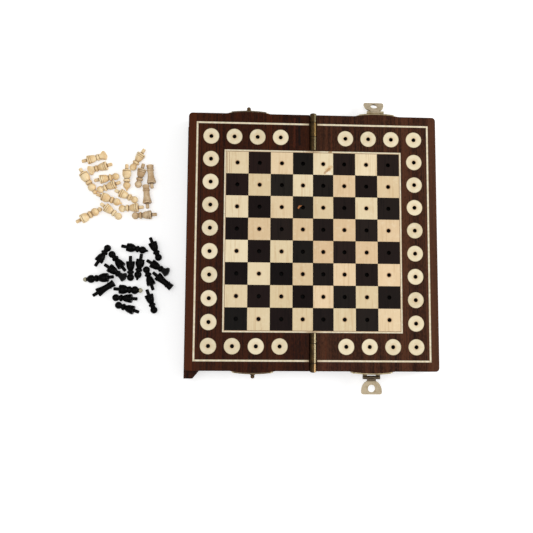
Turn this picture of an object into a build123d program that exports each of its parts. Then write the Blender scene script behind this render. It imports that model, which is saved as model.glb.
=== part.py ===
from build123d import *
import math
import os

# A folding travel chess set, in millimetres, opened flat with its playing faces up.
# The origin is on the table, at the middle of the fold line. X runs across the fold,
# Y along it, and Z is up. The left half (side -1) holds the chessmen's compartment.

LEFT, RIGHT = -1, 1
NEAR, FAR = -1, 1

# Box
board_length = 205.4
half_width = 100.0
half_gap = 0.2
half_height = 19.0
corner_radius = 3.0
edge_easing = 0.5
plate_thickness = 6.0
bottom_thickness = 3.0
end_wall = 4.0
spine_wall = 6.0
side_wall = 6.0

# Inlay in the playing plates
inlay_depth = 1.6
stringing_width = 1.7
side_stringing_inset = 6.2
end_stringing_inset = 7.15
field_side_border = 30.5
field_end_border = 31.45
fold_square_cut = 1.6
squares_across = 4
squares_along = 8
disc_diameter = 12.8
disc_side_inset = 18.15
disc_end_inset = 19.1
discs_along = 10
discs_across = 4
peg_hole_diameter = 3.2
peg_hole_depth = 4.8

# Sliding side of the compartment
slide_width = 12.4
slide_proud = 0.8
slide_out = 6.4
slide_clearance = 0.12
slide_flat_end = 6.9
slide_grip_length = 6.6
slide_corner_radius = 1.2
tongue_width = 3.0
tongue_height = 1.5
tongue_setback = 8.0

# Butt hinges: each outer pair is the left leaf's knuckles, the one nearer the field first
fold_rise = 0.25
barrel_diameter = 5.2
barrel_clearance = 0.5
hinge_pin_diameter = 2.0
running_clearance = 0.05
hinge_overhang = 0.3
hinge_dome = 0.8
hinge_field_gap = 0.25
outer_knuckles = {FAR: (10.9, 7.1), NEAR: (7.7, 6.6)}
knuckle_gap = 0.16
leaf_thickness = 0.9
leaf_depth = 11.0
leaf_lift = 1.5
leaf_relief = 0.35
stringing_setback = 0.15
leaf_screw_steps = (4.0, 12.0, 20.0)
leaf_screw_drop = 8.4
screw_head_diameter = 3.4
screw_head_depth = 0.8
screw_shank_diameter = 1.7
screw_length = 5.0
screw_slot_width = 0.4
screw_slot_depth = 0.35
screw_clearance = 0.05

# Clasps: a plate on a low swelling of the edge, one pair on each half
far_clasp_centre = 52.0
near_clasp_centre = 47.1
swelling_width = 36.0
swelling_rise = 1.5
clasp_plate_width = 32.5
clasp_plate_height = 11.0
clasp_plate_thickness = 1.0
clasp_plate_drop = 0.5
clasp_plate_scallop = 2.3
clasp_nail_inset = 2.05
nail_head_diameter = 2.5
nail_head_height = 0.7
nail_shank_diameter = 1.2
nail_length = 5.0
tab_axis_out = 5.0
tab_axis_drop = 6.0
tab_barrel_diameter = 2.8
tab_pin_diameter = 1.2
tab_neck_width = 7.0
tab_thickness = 1.2
tab_hole_diameter = 5.8
tab_hole_reach = 8.6
tab_length = 13.2
tab_half_width = 8.2
lug_width = 3.2
lug_gap = 0.15
lug_web = 1.4
far_tab_droop = 36.0
knob_past_axis = 0.9
knob_stem_diameter = 2.5
knob_tip_diameter = 3.2
knob_collar_diameter = 4.0
knob_collar_height = 0.6
knob_root = 3.0

# Chessmen
peg_clearance = 0.4
knight_head_thickness = 5.0
knight_cheek_taper = 12.0
tilt_limit = 12.0

# Worked out from the sizes above
outer_x = half_gap / 2 + half_width
inner_x = half_gap / 2
edge_y = board_length / 2
plate_bottom = half_height - plate_thickness
inlay_floor = half_height - inlay_depth
field_x = outer_x - field_side_border
field_y = edge_y - field_end_border
square_width = (field_x + fold_square_cut) / squares_across
square_length = 2 * field_y / squares_along
peg_diameter = peg_hole_diameter - peg_clearance
peg_length = peg_hole_depth - peg_clearance
fold_axis_z = half_height + fold_rise
barrel_radius = barrel_diameter / 2
groove_radius = barrel_radius + barrel_clearance
hinge_start = field_y + stringing_width + hinge_field_gap
hinge_end = edge_y + hinge_overhang
leaf_low = fold_axis_z - leaf_depth
leaf_screw_z = fold_axis_z - leaf_screw_drop
clasp_centres = {FAR: far_clasp_centre, NEAR: near_clasp_centre}
swelling_radius = ((swelling_width / 2) ** 2 + swelling_rise ** 2) / (2 * swelling_rise)
swelling_middle_y = edge_y + swelling_rise - swelling_radius
clasp_plate_top = half_height - clasp_plate_drop
clasp_nail_spread = clasp_plate_width / 2 - clasp_nail_inset
tab_axis_y = edge_y + tab_axis_out
tab_axis_height = half_height - tab_axis_drop
knob_out = tab_axis_out + knob_past_axis
knob_z = 2 * fold_axis_z - tab_axis_height - tab_hole_reach
slide_outer_x = outer_x + slide_proud
slide_inner_x = slide_outer_x - slide_width
slide_middle_x = (slide_outer_x + slide_inner_x) / 2


def save(name, shapes):
    """Write one node as a STEP file of separate solids."""
    solids = [solid for shape in shapes for solid in shape.solids()]
    node = Compound(solids) if len(solids) > 1 else solids[0]
    node.label = name
    export_step(node, f"parts/{name}.step")


def block(side, x, y, z):
    """A box given by its ranges, with x measured away from the fold on one side."""
    low_x, high_x = sorted((side * x[0], side * x[1]))
    size = (high_x - low_x, y[1] - y[0], z[1] - z[0])
    return Pos((low_x + high_x) / 2, (y[0] + y[1]) / 2, (z[0] + z[1]) / 2) * Box(*size)


def rod_along_y(x, z, radius, y):
    """A round bar between two places along Y."""
    return Pos(x, (y[0] + y[1]) / 2, z) * Rot(90, 0, 0) * Cylinder(radius, y[1] - y[0])


def rod_along_x(y, z, radius, x):
    """A round bar between two places along X."""
    return Pos((x[0] + x[1]) / 2, y, z) * Rot(0, 90, 0) * Cylinder(radius, x[1] - x[0])


def outline_edges(outline):
    """Edges through (along, radius) steps. Four numbers are an arc, and one is a ball's end on X."""
    edges = []
    here = outline[0]
    for step in outline[1:]:
        if len(step) == 1:
            rise = step[0] - here[0]
            ball = (rise ** 2 + here[1] ** 2) / (2 * rise)
            middle = step[0] - ball
            half = math.atan2(here[1], here[0] - middle) / 2
            step = (middle + ball * math.cos(half), ball * math.sin(half), step[0], 0)
        there = step[-2:]
        if len(step) == 4:
            edges.append(ThreePointArc(here, step[:2], there))
        else:
            edges.append(Line(here, there))
        here = there
    return edges


def turned(outline):
    """Turn an outline about X, as on a lathe. It starts and ends on the axis."""
    edges = outline_edges(outline)
    edges.append(Line(edges[-1] @ 1, edges[0] @ 0))
    return revolve(make_face(edges), Axis.X)


# Wooden box

def swelling(side, end):
    """The low bow of the edge that carries a clasp plate, in plan."""
    centre = side * clasp_centres[end]
    left = (centre - swelling_width / 2, end * edge_y)
    right = (centre + swelling_width / 2, end * edge_y)
    middle = (centre, end * (edge_y + swelling_rise))
    return make_face([ThreePointArc(left, middle, right), Line(right, left)])


def half_plan(side):
    """Plan of one half, with rounded outer corners and two swellings."""
    plan = Pos(side * (inner_x + outer_x) / 2, 0) * Rectangle(half_width, board_length)
    outer = [corner for corner in plan.vertices() if abs(corner.X) > outer_x / 2]
    plan = fillet(outer, corner_radius)
    for end in (NEAR, FAR):
        plan = plan + swelling(side, end)
    return plan


def layer(side, low, high):
    """A slab of one half between two heights."""
    return Pos(0, 0, low) * extrude(half_plan(side), amount=high - low)


def hinge_span(end):
    """Where one hinge lies along Y, lowest first."""
    return tuple(sorted((end * hinge_start, end * hinge_end)))


def hinge_cuts(side):
    """Room for the barrels and for the leaves let into the meeting face."""
    cuts = []
    for end in (NEAR, FAR):
        low, high = hinge_span(end)
        cuts.append(rod_along_y(0, fold_axis_z, groove_radius, (low, high)))
        leaf_top = fold_axis_z - leaf_lift
        cuts.append(block(side, (0, inner_x + leaf_thickness), (low, high), (leaf_low, leaf_top)))
    return cuts


def disc_places(side):
    """Centres of the bone discs: down the outer edge, then along the far and near edges."""
    first_x = outer_x - disc_side_inset
    first_y = edge_y - disc_end_inset
    pitch = 2 * first_y / (discs_along - 1)
    places = [(side * first_x, first_y - step * pitch) for step in range(discs_along)]
    for end in (FAR, NEAR):
        places += [(side * (first_x - step * pitch), end * first_y) for step in range(1, discs_across)]
    return places


def square_places(side):
    """Each square as (x range from the fold, y range, is it light)."""
    places = []
    for column in range(squares_across):
        high_x = (column + 1) * square_width - fold_square_cut
        low_x = inner_x if column == 0 else high_x - square_width
        from_left = squares_across + column if side == RIGHT else squares_across - 1 - column
        for row in range(squares_along):
            low_y = -field_y + row * square_length
            from_far = squares_along - 1 - row
            light = (from_left + from_far) % 2 == 0
            places.append(((low_x, high_x), (low_y, low_y + square_length), light))
    return places


def peg_places(side):
    """Every peg hole of one half."""
    squares = [(side * sum(x) / 2, sum(y) / 2) for x, y, _ in square_places(side)]
    return squares + disc_places(side)


def peg_hole(place, depth):
    """A peg hole drilled down from the playing face."""
    return Pos(place[0], place[1], half_height - depth / 2) * Cylinder(peg_hole_diameter / 2, depth)


def stringing_strips(side):
    """Two pale lines round the half, each of three strips that butt at the corners."""
    strips = []
    z = (inlay_floor, half_height)
    frames = (
        (outer_x - side_stringing_inset, edge_y - end_stringing_inset, groove_radius + stringing_setback),
        (field_x + stringing_width, field_y + stringing_width, inner_x),
    )
    for x, y, start_x in frames:
        strips.append(block(side, (x - stringing_width, x), (-y, y), z))
        across = (start_x, x - stringing_width)
        strips.append(block(side, across, (y - stringing_width, y), z))
        strips.append(block(side, across, (-y, stringing_width - y), z))
    return strips


def disc(place):
    """One bone disc with its peg hole."""
    middle_z = half_height - inlay_depth / 2
    body = Pos(place[0], place[1], middle_z) * Cylinder(disc_diameter / 2, inlay_depth)
    return body - peg_hole(place, inlay_depth)


def square(side, x, y):
    """One inlaid square with its peg hole."""
    place = (side * sum(x) / 2, sum(y) / 2)
    return block(side, x, y, (inlay_floor, half_height)) - peg_hole(place, inlay_depth)


def tongue_grooves():
    """The two grooves that guide the sliding side, above and below it."""
    half = tongue_width / 2 + slide_clearance
    x = (slide_middle_x - half, slide_middle_x + half)
    y = (-edge_y - corner_radius, edge_y - end_wall)
    depth = tongue_height + slide_clearance
    above = block(LEFT, x, y, (plate_bottom, plate_bottom + depth))
    below = block(LEFT, x, y, (bottom_thickness - depth, bottom_thickness))
    return above, below


def eased(slab, side, height):
    """Round the outer rim of a slab's face, but not its meeting edge."""
    rim = [
        edge for edge in slab.edges()
        if abs(edge.center().Z - height) < 0.01 and side * edge.center().X > inner_x + 0.01
    ]
    return fillet(rim, edge_easing)


def playing_plate(side):
    """The slab that carries the inlay, the peg holes and the hinges."""
    plate = eased(layer(side, plate_bottom, half_height), side, half_height)
    z = (inlay_floor, half_height)
    cuts = [block(side, (0, field_x), (-field_y, field_y), z)]
    cuts += stringing_strips(side)
    for place in disc_places(side):
        middle_z = half_height - inlay_depth / 2
        cuts.append(Pos(place[0], place[1], middle_z) * Cylinder(disc_diameter / 2, inlay_depth))
    cuts += [peg_hole(place, peg_hole_depth) for place in peg_places(side)]
    cuts += hinge_cuts(side) + leaf_screws(side, screw_clearance) + clasp_holes(side)
    if side == LEFT:
        cuts.append(tongue_grooves()[0])
    return plate - cuts


def walls(side):
    """End walls, the spine wall beside the fold and, on the right, the outer side wall."""
    ring = layer(side, bottom_thickness, plate_bottom)
    end_reach = edge_y + swelling_rise + 1
    z = (bottom_thickness, plate_bottom)
    far_wall = ring & block(side, (0, outer_x), (edge_y - end_wall, end_reach), z)
    near_wall = ring & block(side, (0, outer_x), (-end_reach, end_wall - edge_y), z)
    if side == LEFT:
        passage = (slide_inner_x - slide_clearance, outer_x + 1)
        near_wall -= block(side, passage, (-end_reach, end_wall - edge_y), z)
    y = (end_wall - edge_y, edge_y - end_wall)
    pieces = [far_wall, near_wall, block(side, (inner_x, inner_x + spine_wall), y, z)]
    if side == RIGHT:
        pieces.append(block(side, (outer_x - side_wall, outer_x), y, z))
    cuts = hinge_cuts(side) + leaf_screws(side, screw_clearance) + clasp_holes(side)
    return [piece - cuts for piece in pieces]


def bottom(side):
    """The base board of one half."""
    board = eased(layer(side, 0, bottom_thickness), side, 0)
    if side == LEFT:
        board -= tongue_grooves()[1]
    return board


def side_slide():
    """The sliding side, drawn out towards the viewer, with its finger grip at the near end."""
    near_y = -edge_y - slide_out
    far_y = edge_y - end_wall - slide_out
    outline = Polyline(
        (-slide_outer_x, near_y),
        (-slide_outer_x + slide_flat_end, near_y),
        (-slide_inner_x, near_y + slide_grip_length),
        (-slide_inner_x, far_y),
        (-slide_outer_x, far_y),
        close=True,
    )
    plan = make_face(outline)
    grip = [corner for corner in plan.vertices() if corner.X > -slide_outer_x + 1 and corner.Y < near_y + 1]
    plan = fillet(grip, slide_corner_radius)
    low = bottom_thickness + slide_clearance
    high = plate_bottom - slide_clearance
    bar = Pos(0, 0, low) * extrude(plan, amount=high - low)
    x = (slide_middle_x - tongue_width / 2, slide_middle_x + tongue_width / 2)
    z = (bottom_thickness - tongue_height, plate_bottom + tongue_height)
    return bar + block(LEFT, x, (near_y + tongue_setback, far_y), z)


# Hinges

def screw_outline(spare):
    """A countersunk screw along X, its head at the origin."""
    head = screw_head_diameter / 2 + spare
    shank = screw_shank_diameter / 2 + spare
    end = screw_length + spare
    return [(0, 0), (0, head), (screw_head_depth, shank), (end, shank), (end, 0)]


def leaf_screws(side, spare=0.0):
    """The screws of both leaves on one half. With spare they are the holes for them."""
    screws = []
    for end in (NEAR, FAR):
        for step in leaf_screw_steps:
            screw = turned(screw_outline(spare))
            if spare == 0:
                screw -= Box(2 * screw_slot_depth, screw_slot_width, screw_head_diameter)
            turn = 0 if side == RIGHT else 180
            place = Pos(side * inner_x, end * (hinge_start + step), leaf_screw_z)
            screws.append(place * Rot(0, 0, turn) * screw)
    return screws


def hinge_leaf(side, end):
    """A leaf with its knuckles: the outer two on the left leaf, the middle one on the right."""
    low, high = hinge_span(end)
    x = (inner_x, inner_x + leaf_thickness)
    clear_top = fold_axis_z - barrel_radius - leaf_relief
    leaf = block(side, x, (low, high), (leaf_low, clear_top))
    first, last = outer_knuckles[end]
    middle = (hinge_start + first + knuckle_gap / 2, hinge_end - last - knuckle_gap / 2)
    outer = [(hinge_start, middle[0] - knuckle_gap), (middle[1] + knuckle_gap, hinge_end)]
    for knuckle in (outer if side == LEFT else [middle]):
        y = tuple(sorted(end * place for place in knuckle))
        leaf += block(side, x, y, (leaf_low, fold_axis_z - leaf_lift))
        leaf += rod_along_y(0, fold_axis_z, barrel_radius, y)
    bore = hinge_pin_diameter / 2 + running_clearance
    cuts = [rod_along_y(0, fold_axis_z, bore, (low - 1, high + 1))]
    return leaf - cuts - leaf_screws(side, screw_clearance)


def hinge_pin(end):
    """The pin of one hinge, with a domed head as wide as the barrel at its outer end."""
    radius = hinge_pin_diameter / 2
    length = hinge_end - hinge_start
    outline = [(0, 0), (0, radius), (length, radius), (length, barrel_radius), (length + hinge_dome,)]
    return Pos(0, end * hinge_start, fold_axis_z) * Rot(0, 0, 90 * end) * turned(outline)


# Clasps

def outward(side, end, out, z):
    """Where something that points out of an end face starts: its local X runs outward."""
    return Pos(side * clasp_centres[end], end * (edge_y + out), z) * Rot(0, 0, 90 * end)


def nail_outline(spare):
    """A round-headed nail along X, pointing inward, its head on the plate."""
    shank = nail_shank_diameter / 2 + spare
    head = nail_head_diameter / 2
    low = -nail_length - spare
    if spare > 0:
        return [(low, 0), (low, shank), (nail_head_height, shank), (nail_head_height, 0)]
    return [(low, 0), (low, shank), (0, shank), (0, head), (nail_head_height,)]


def clasp_nails(side, end, spare=0.0):
    """Two nails, one near each end of a clasp plate, square to its bowed face."""
    nails = []
    face = swelling_radius + clasp_plate_thickness
    lean = math.degrees(math.asin(clasp_nail_spread / face))
    height = clasp_plate_top - clasp_plate_height / 2
    centre = Pos(side * clasp_centres[end], end * swelling_middle_y, height)
    for turn in (-lean, lean):
        nails.append(centre * Rot(0, 0, 90 * end + turn) * Pos(face, 0, 0) * turned(nail_outline(spare)))
    return nails


def catch_knob(end, spare=0.0):
    """The knob that the tab's hole goes over, riveted through its plate."""
    face = swelling_rise + clasp_plate_thickness
    stem = knob_stem_diameter / 2 + spare
    collar = knob_collar_diameter / 2
    tip = knob_tip_diameter / 2
    reach = knob_out - face
    root = -clasp_plate_thickness - knob_root - spare
    if spare > 0:
        outline = [(root, 0), (root, stem), (1, stem), (1, 0)]
    else:
        neck = reach - tip - math.sqrt(tip ** 2 - stem ** 2)
        outline = [
            (root, 0), (root, stem), (0, stem), (0, collar), (knob_collar_height, collar),
            (knob_collar_height, stem), (neck, stem), (reach,),
        ]
    return outward(LEFT, end, face, knob_z) * turned(outline)


def clasp_holes(side):
    """Holes for the clasp nails and, on the left half, the knobs."""
    holes = []
    for end in (NEAR, FAR):
        holes += clasp_nails(side, end, screw_clearance)
        if side == LEFT:
            holes.append(catch_knob(end, screw_clearance))
    return holes


def clasp_plate(side, end):
    """A thin plate that follows the swelling, with scalloped corners."""
    ring = Circle(swelling_radius + clasp_plate_thickness) - Circle(swelling_radius)
    window = Pos(0, end * swelling_radius) * Rectangle(clasp_plate_width, swelling_radius)
    low = clasp_plate_top - clasp_plate_height
    plate = extrude(ring & window, amount=clasp_plate_height)
    plate = Pos(side * clasp_centres[end], end * swelling_middle_y, low) * plate
    cuts = clasp_nails(side, end, screw_clearance)
    if side == LEFT:
        cuts.append(catch_knob(end, screw_clearance))
    face_y = end * edge_y
    for offset in (-clasp_plate_width / 2, clasp_plate_width / 2):
        for height in (low, clasp_plate_top):
            x = side * clasp_centres[end] + offset
            y = (face_y - 5, face_y + 5)
            cuts.append(rod_along_y(x, height, clasp_plate_scallop, y))
    return plate - cuts


def hasp_plate(end):
    """A clasp plate on the right half, with two lugs that hold the tab's pin."""
    plate = clasp_plate(RIGHT, end)
    face = swelling_rise + clasp_plate_thickness / 2
    for direction in (-1, 1):
        near_x = tab_neck_width / 2 + lug_gap
        x = sorted(clasp_centres[end] + direction * offset for offset in (near_x, near_x + lug_width))
        y = sorted(end * (edge_y + out) for out in (face, tab_axis_out))
        z = (tab_axis_height - lug_web / 2, tab_axis_height + lug_web / 2)
        plate += block(RIGHT, x, y, z)
        plate += rod_along_x(end * tab_axis_y, tab_axis_height, tab_barrel_diameter / 2, x)
    bore = tab_pin_diameter / 2 + running_clearance
    reach = tab_neck_width / 2 + lug_gap + lug_width + 1
    x = (clasp_centres[end] - reach, clasp_centres[end] + reach)
    return plate - rod_along_x(end * tab_axis_y, tab_axis_height, bore, x)


def hasp_pin(end):
    """The pin of one tab, flush with its lugs."""
    reach = tab_neck_width / 2 + lug_gap + lug_width
    x = (clasp_centres[end] - reach, clasp_centres[end] + reach)
    return rod_along_x(end * tab_axis_y, tab_axis_height, tab_pin_diameter / 2, x)


def tab_plan():
    """The tab's flat, a D with its straight edge outermost. Its pin axis is the X axis."""
    neck = tab_neck_width / 2
    shoulder = (neck + 1.4, 3.4)
    widest = (tab_half_width, tab_length - 2.2)
    bulge = (tab_half_width - 0.9, (shoulder[1] + widest[1]) / 2 - 0.6)
    corner = (tab_half_width - 1.2, tab_length)
    bend = (tab_half_width - 0.3, tab_length - 0.7)

    def flip(point):
        return (-point[0], point[1])

    return make_face([
        Line((neck, 0), (neck, 2.2)),
        ThreePointArc((neck, 2.2), (neck + 0.5, 3.0), shoulder),
        ThreePointArc(shoulder, bulge, widest),
        ThreePointArc(widest, bend, corner),
        Line(corner, flip(corner)),
        ThreePointArc(flip(corner), flip(bend), flip(widest)),
        ThreePointArc(flip(widest), flip(bulge), flip(shoulder)),
        ThreePointArc(flip(shoulder), (-neck - 0.5, 3.0), (-neck, 2.2)),
        Line((-neck, 2.2), (-neck, 0)),
        Line((-neck, 0), (neck, 0)),
    ])


def hasp_tab(end, droop):
    """A swinging tab, drooping from the level by some degrees."""
    flat = Pos(0, 0, -tab_thickness / 2) * extrude(tab_plan(), amount=tab_thickness)
    neck = (-tab_neck_width / 2, tab_neck_width / 2)
    tab = flat + rod_along_x(0, 0, tab_barrel_diameter / 2, neck)
    tab -= rod_along_x(0, 0, tab_pin_diameter / 2 + running_clearance, (neck[0] - 1, neck[1] + 1))
    tab -= Pos(0, tab_hole_reach, 0) * Cylinder(tab_hole_diameter / 2, 2 * tab_thickness)
    turn = 0 if end == FAR else 180
    pin = Pos(clasp_centres[end], end * tab_axis_y, tab_axis_height)
    return pin * Rot(0, 0, turn) * Rot(-droop, 0, 0) * tab


# Chessmen: outlines run from the peg's tip to the crown, with the base at zero

def peg_start():
    """The peg, from its tip to the underside of the base."""
    radius = peg_diameter / 2
    return [
        (-peg_length, 0), (-peg_length, radius - 0.4), (0.4 - peg_length, radius), (0, radius),
    ]


outlines = {
    "pawn": [
        (0, 3.3), (0.3, 3.6), (1.2, 3.6), (1.4, 3.3), (1.6, 3.6), (2.6, 3.5), (2.8, 3.2), (3.1, 3.3),
        (4.6, 3.1, 7.0, 2.1), (7.6, 1.9), (7.9, 2.6), (8.3, 2.8), (9.2, 2.8), (9.6, 2.6),
        (9.9, 2.0), (11.0, 2.0), (16.0,),
    ],
    "rook": [
        (0, 3.3), (0.3, 3.6), (1.2, 3.7), (1.4, 3.4), (1.9, 3.5), (5.6, 2.7, 10.2, 2.5), (10.5, 2.9),
        (10.9, 3.0), (11.4, 2.9), (11.7, 2.5), (12.2, 2.6), (15.1, 3.0), (15.1, 2.1), (14.1, 1.8), (14.1, 0),
    ],
    "bishop": [
        (0, 3.1), (0.3, 3.4), (1.1, 3.5), (1.3, 3.2), (1.5, 3.4), (3.6, 3.6, 6.6, 2.4), (7.6, 2.0),
        (7.9, 2.6), (8.3, 2.8), (9.4, 2.8), (9.8, 2.5), (10.1, 2.0), (10.5, 2.0), (12.7, 3.0, 15.6, 1.4),
        (16.3, 0.9), (17.5,),
    ],
    "queen": [
        (0, 3.3), (0.4, 3.7), (1.4, 3.8), (1.6, 3.5), (1.8, 3.7), (3.8, 3.7, 6.4, 2.6), (7.0, 2.3),
        (7.3, 2.8), (7.7, 3.0), (8.9, 3.0), (9.3, 2.8), (9.6, 2.2), (10.1, 2.2), (12.2, 3.3, 14.8, 2.3),
        (15.6, 1.5), (15.9, 1.7), (18.8,),
    ],
    "king": [
        (0, 3.2), (0.4, 3.6), (1.3, 3.7), (1.5, 3.4), (1.7, 3.6), (4.2, 3.7, 7.4, 2.5), (8.2, 2.1),
        (8.5, 2.6), (8.9, 2.8), (10.1, 2.8), (10.5, 2.6), (10.8, 2.1), (11.3, 2.1), (13.6, 3.3, 16.4, 2.2),
        (17.2, 1.4), (17.5, 1.6), (20.4,),
    ],
    "knight": [
        (0, 3.3), (0.3, 3.6), (1.2, 3.6), (1.4, 3.3), (1.6, 3.6), (2.6, 3.5), (2.8, 3.2), (3.1, 3.3),
        (4.6, 3.1, 7.0, 2.2), (7.6, 2.0), (7.9, 2.5), (8.3, 2.7), (9.3, 2.7), (9.7, 2.5),
        (10.0, 2.1), (10.0, 0),
    ],
}


knight_profile = [
    (9.6, 2.1), (11.6, 2.4), (13.2, 4.1), (14.7, 4.2), (15.8, 2.7), (16.5, -0.4), (16.2, -1.6),
    (15.2, -3.4), (14.2, -3.7), (11.6, -2.5), (9.6, -2.1),
]


def knight_head():
    """The horse's head above its collar: a side view drawn in towards both cheeks."""
    side_view = make_face(Polyline(*knight_profile, close=True))
    cheek = extrude(side_view, amount=knight_head_thickness / 2, taper=knight_cheek_taper)
    return cheek + mirror(cheek, Plane.XY)


def resting_tilt(touching, balance):
    """The nose-down angle at which a man on its side has its centre of mass lowest."""
    def height(angle):
        slope, level = math.sin(math.radians(angle)), math.cos(math.radians(angle))
        return max(along * slope + radius * level for along, radius in touching) - balance * slope

    low, high = -tilt_limit, tilt_limit
    for _ in range(60):
        third = (high - low) / 3
        if height(low + third) < height(high - third):
            high -= third
        else:
            low += third
    return (low + high) / 2


def chessman(kind):
    """One man lying on the table, its crown towards +X and its middle over the origin."""
    outline = outlines[kind]
    man = turned(peg_start() + outline)
    points = [edge @ (part / 20) for edge in outline_edges(outline) for part in range(21)]
    touching = [(point.X, point.Y) for point in points]
    if kind == "knight":
        man += knight_head()
        touching += [(along, knight_head_thickness / 2) for along, _ in knight_profile]
    man = Rot(0, resting_tilt(touching, man.center(CenterOf.MASS).X), 0) * man
    box = man.bounding_box()
    return Pos(-(box.min.X + box.max.X) / 2, 0, -box.min.Z) * man


# Where the men lie: (name, kind, how far out from the left half, middle y, heading of the crown)
light_men = [
    ("king", "king", 82.0, 48.4, 303), ("queen", "queen", 80.2, 20.4, 31),
    ("bishop_1", "bishop", 50.8, 52.0, 271), ("bishop_2", "bishop", 64.4, 34.0, 340),
    ("knight_1", "knight", 77.4, 67.6, 17), ("knight_2", "knight", 72.8, 60.0, 196),
    ("rook_1", "rook", 31.2, 53.0, 97), ("rook_2", "rook", 34.2, 36.4, 96),
    ("pawn_1", "pawn", 67.0, 51.2, 13), ("pawn_2", "pawn", 65.2, 44.4, 201),
    ("pawn_3", "pawn", 42.2, 67.2, 239), ("pawn_4", "pawn", 39.8, 53.8, 257),
    ("pawn_5", "pawn", 50.8, 37.0, 335), ("pawn_6", "pawn", 46.6, 27.0, 184),
    ("pawn_7", "pawn", 35.8, 21.2, 184), ("pawn_8", "pawn", 62.8, 24.2, 325),
]
dark_men = [
    ("king", "king", 71.0, -30.6, 186), ("queen", "queen", 47.2, -39.6, 357),
    ("bishop_1", "bishop", 42.8, -6.2, 350), ("bishop_2", "bishop", 38.8, -21.2, 261),
    ("knight_1", "knight", 58.0, -25.2, 326), ("knight_2", "knight", 24.0, -21.0, 329),
    ("rook_1", "rook", 66.8, -39.4, 33), ("rook_2", "rook", 20.2, -31.6, 321),
    ("pawn_1", "pawn", 68.6, -12.4, 58), ("pawn_2", "pawn", 26.6, -6.4, 293),
    ("pawn_3", "pawn", 56.2, -16.8, 130), ("pawn_4", "pawn", 49.6, -46.4, 177),
    ("pawn_5", "pawn", 47.6, -54.4, 162), ("pawn_6", "pawn", 28.8, -48.8, 290),
    ("pawn_7", "pawn", 30.6, -30.2, 110), ("pawn_8", "pawn", 45.8, -22.4, 271),
]


def write_box():
    """Write every node of the wooden box."""
    for side, name in ((LEFT, "left"), (RIGHT, "right")):
        save(f"{name}_playing_plate", [playing_plate(side)])
        save(f"{name}_walls", walls(side))
        save(f"{name}_bottom", [bottom(side)])
        save(f"{name}_stringing", stringing_strips(side))
        save(f"{name}_discs", [disc(place) for place in disc_places(side)])
        squares = square_places(side)
        save(f"{name}_light_squares", [square(side, x, y) for x, y, light in squares if light])
        save(f"{name}_dark_squares", [square(side, x, y) for x, y, light in squares if not light])
    save("side_slide", [side_slide()])


def write_brass():
    """Write the hinges and the clasps."""
    ends = (FAR, NEAR)
    for side, name in ((LEFT, "left"), (RIGHT, "right")):
        save(f"{name}_hinge_leaves", [hinge_leaf(side, end) for end in ends])
        save(f"{name}_hinge_screws", leaf_screws(side))
    save("hinge_pins", [hinge_pin(end) for end in ends])
    save("catch_plates", [clasp_plate(LEFT, end) for end in ends])
    save("catch_knobs", [catch_knob(end) for end in ends])
    save("catch_nails", clasp_nails(LEFT, FAR) + clasp_nails(LEFT, NEAR))
    save("hasp_plates", [hasp_plate(end) for end in ends])
    save("hasp_pins", [hasp_pin(end) for end in ends])
    save("hasp_nails", clasp_nails(RIGHT, FAR) + clasp_nails(RIGHT, NEAR))
    save("far_hasp_tab", [hasp_tab(FAR, far_tab_droop)])
    save("near_hasp_tab", [hasp_tab(NEAR, 0)])


def write_men():
    """Write the thirty-two chessmen where they lie."""
    kinds = {kind: chessman(kind) for kind in outlines}
    for shade, men in (("light", light_men), ("dark", dark_men)):
        for name, kind, out, y, heading in men:
            place = Pos(-outer_x - out, y, 0) * Rot(0, 0, heading)
            save(f"{shade}_{name}", [place * kinds[kind]])


os.makedirs("parts", exist_ok=True)
write_box()
write_brass()
write_men()
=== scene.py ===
import math
import random

import bmesh
import bpy
from mathutils import Euler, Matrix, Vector


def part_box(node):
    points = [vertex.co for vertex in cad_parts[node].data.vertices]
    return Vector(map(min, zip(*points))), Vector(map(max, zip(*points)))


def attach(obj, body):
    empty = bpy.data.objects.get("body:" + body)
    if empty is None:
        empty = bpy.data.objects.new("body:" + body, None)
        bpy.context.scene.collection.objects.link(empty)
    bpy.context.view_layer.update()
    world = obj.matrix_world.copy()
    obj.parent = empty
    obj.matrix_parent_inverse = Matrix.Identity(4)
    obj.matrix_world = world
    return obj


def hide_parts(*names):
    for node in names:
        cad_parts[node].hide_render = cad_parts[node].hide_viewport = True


# A folding travel chess set, open flat, with its men beside it. Lengths are written in
# millimetres and turned to metres by MM. X runs across the fold, Y along it, Z is up.

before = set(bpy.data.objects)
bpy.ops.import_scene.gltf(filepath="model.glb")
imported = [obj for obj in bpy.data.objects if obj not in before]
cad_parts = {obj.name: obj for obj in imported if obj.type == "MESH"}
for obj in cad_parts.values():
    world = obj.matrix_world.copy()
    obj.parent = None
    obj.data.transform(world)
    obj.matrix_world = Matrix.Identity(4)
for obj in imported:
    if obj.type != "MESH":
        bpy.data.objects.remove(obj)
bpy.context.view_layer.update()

MM = 0.001
LEFT, RIGHT = -1, 1
SIDES = ((LEFT, "left"), (RIGHT, "right"))

# The box's own sizes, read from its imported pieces
face_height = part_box("left_discs")[1].z / MM
inlay_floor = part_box("left_discs")[0].z / MM
field_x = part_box("right_light_squares")[1].x / MM
field_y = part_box("right_light_squares")[1].y / MM
outer_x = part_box("right_playing_plate")[1].x / MM
fold_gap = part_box("right_light_squares")[0].x / MM
stringing_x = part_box("right_stringing")[1].x / MM
stringing_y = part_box("right_stringing")[1].y / MM
edge_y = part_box("right_playing_plate")[1].y / MM
plate_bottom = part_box("right_playing_plate")[0].z / MM
disc_reach_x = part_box("right_discs")[1].x / MM
disc_reach_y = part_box("right_discs")[1].y / MM

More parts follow.
